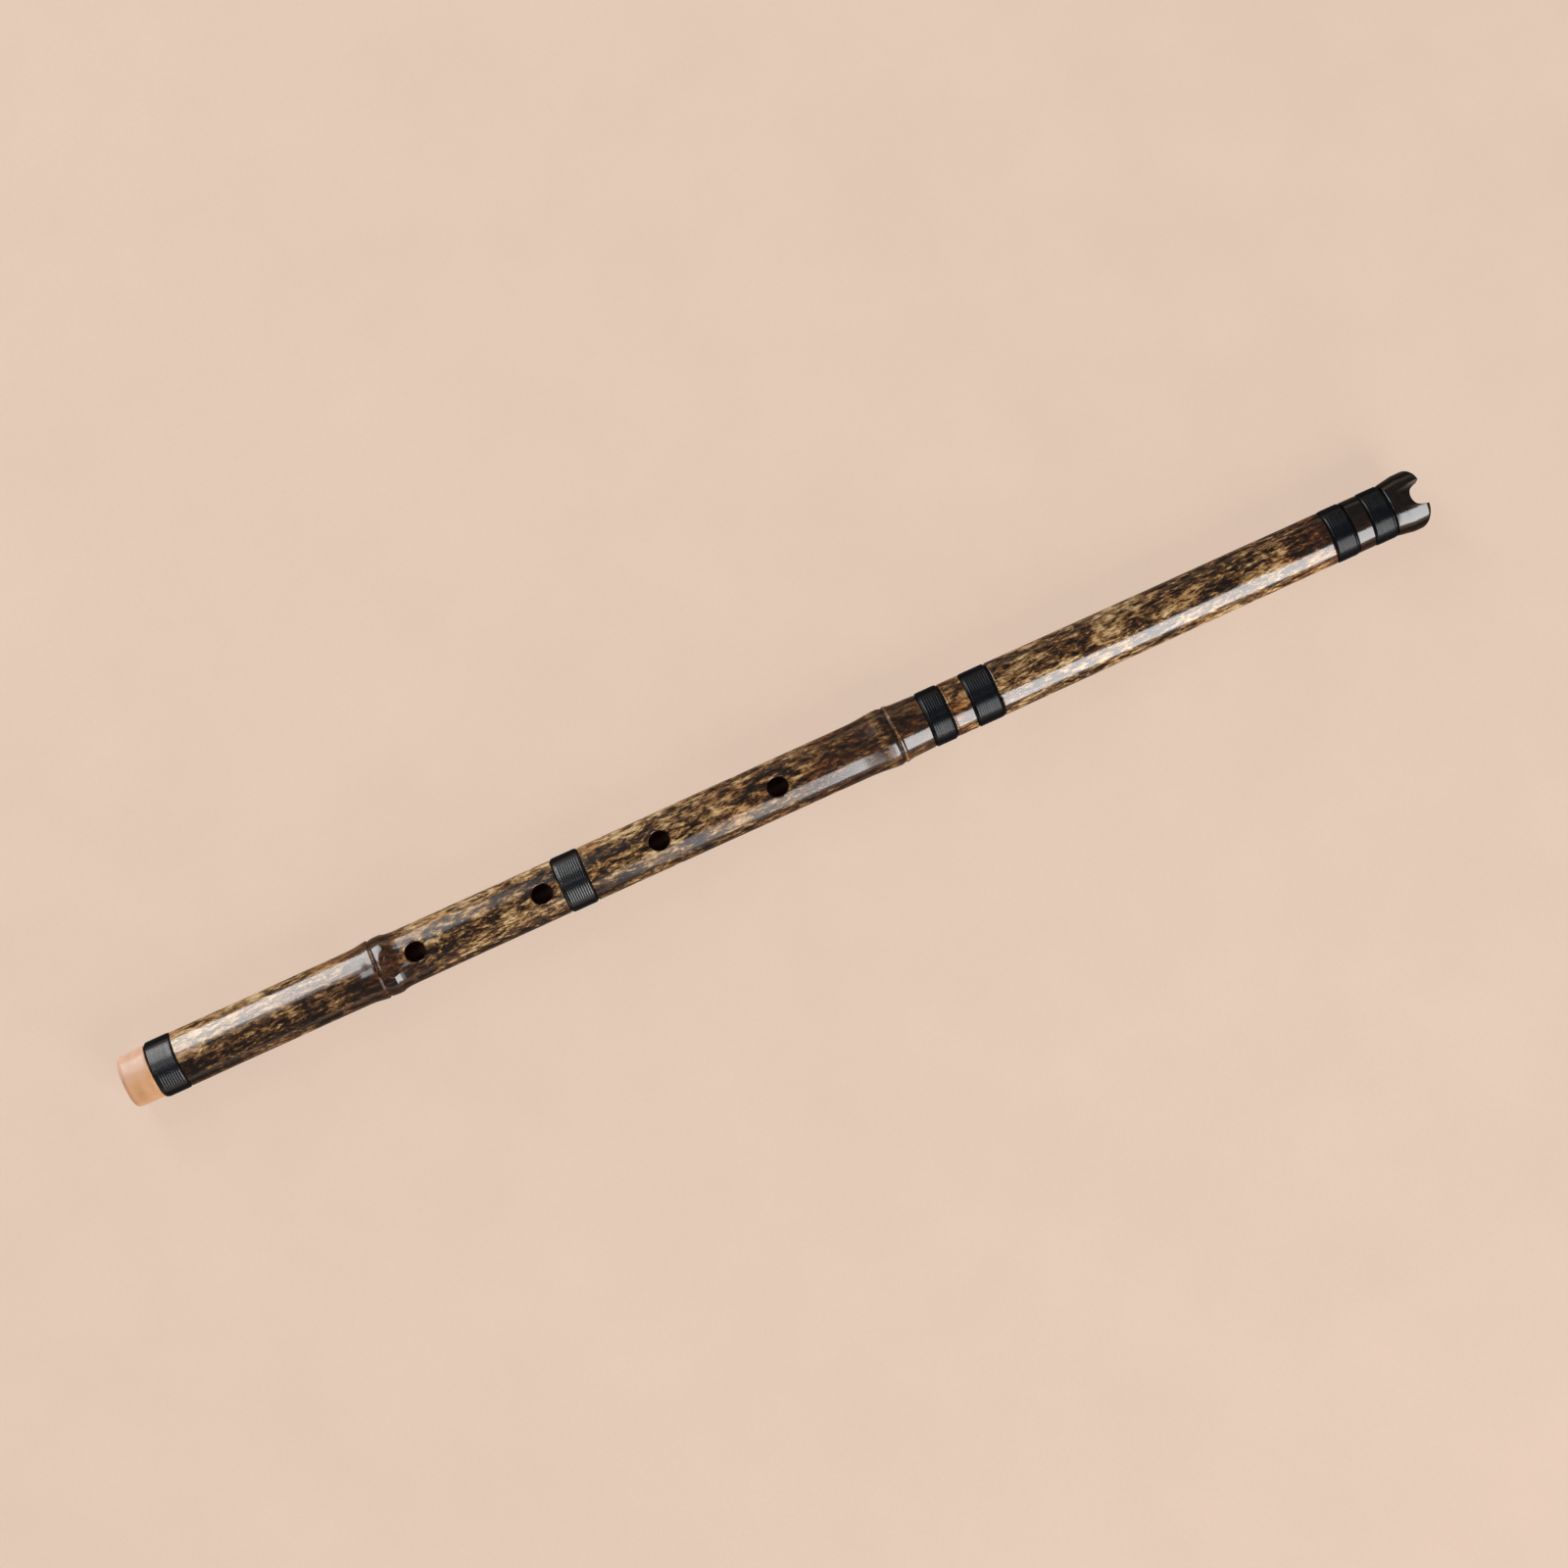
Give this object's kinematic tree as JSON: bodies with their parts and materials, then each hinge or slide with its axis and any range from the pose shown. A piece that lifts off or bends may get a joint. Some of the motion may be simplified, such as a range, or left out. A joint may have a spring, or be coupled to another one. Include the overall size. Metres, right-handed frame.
{
  "type": "shakuhachi",
  "caption": "End-blown bamboo flute in two joined sections, with finger holes, a thumb hole, cord bindings, a notched mouth and a pale foot ring.",
  "frame": {"origin": "on the surface that the flute lies on, under the middle of its length", "axes": "+X runs along the bore from the foot to the mouth, +Z points out of the finger holes, up from the surface"},
  "size_m": [0.545, 0.0238, 0.0238],
  "materials": {
    "lacquered_bamboo": "clear lacquer over mottled brown bamboo",
    "black_cord": "wound cord under black lacquer, satin",
    "pale_horn": "polished, slightly translucent",
    "brass": "turned and polished",
    "cork": "ground cork, matt"
  },
  "bodies": {
    "lower_half": {"lower_section": "lacquered_bamboo", "foot_ring": "pale_horn", "socket_liner": "brass", "foot_binding": "black_cord", "hole_binding": "black_cord", "lower_seam_binding": "black_cord"},
    "joint_tenon": {"tenon": "brass", "tenon_cork": "cork"},
    "upper_half": {"upper_section": "lacquered_bamboo", "upper_seam_binding": "black_cord", "neck_binding": "black_cord", "mouth_binding": "black_cord"}
  },
  "joints": [
    {"name": "pull_apart", "type": "slide", "parent": "lower_half", "child": "joint_tenon", "axis": [1, 0, 0], "range_m": [0, 0.05]},
    {"name": "twist", "type": "hinge", "parent": "joint_tenon", "child": "upper_half", "pos_m": [0.075, 0, 0.01191], "axis": [1, 0, 0], "continuous": true}
  ]
}
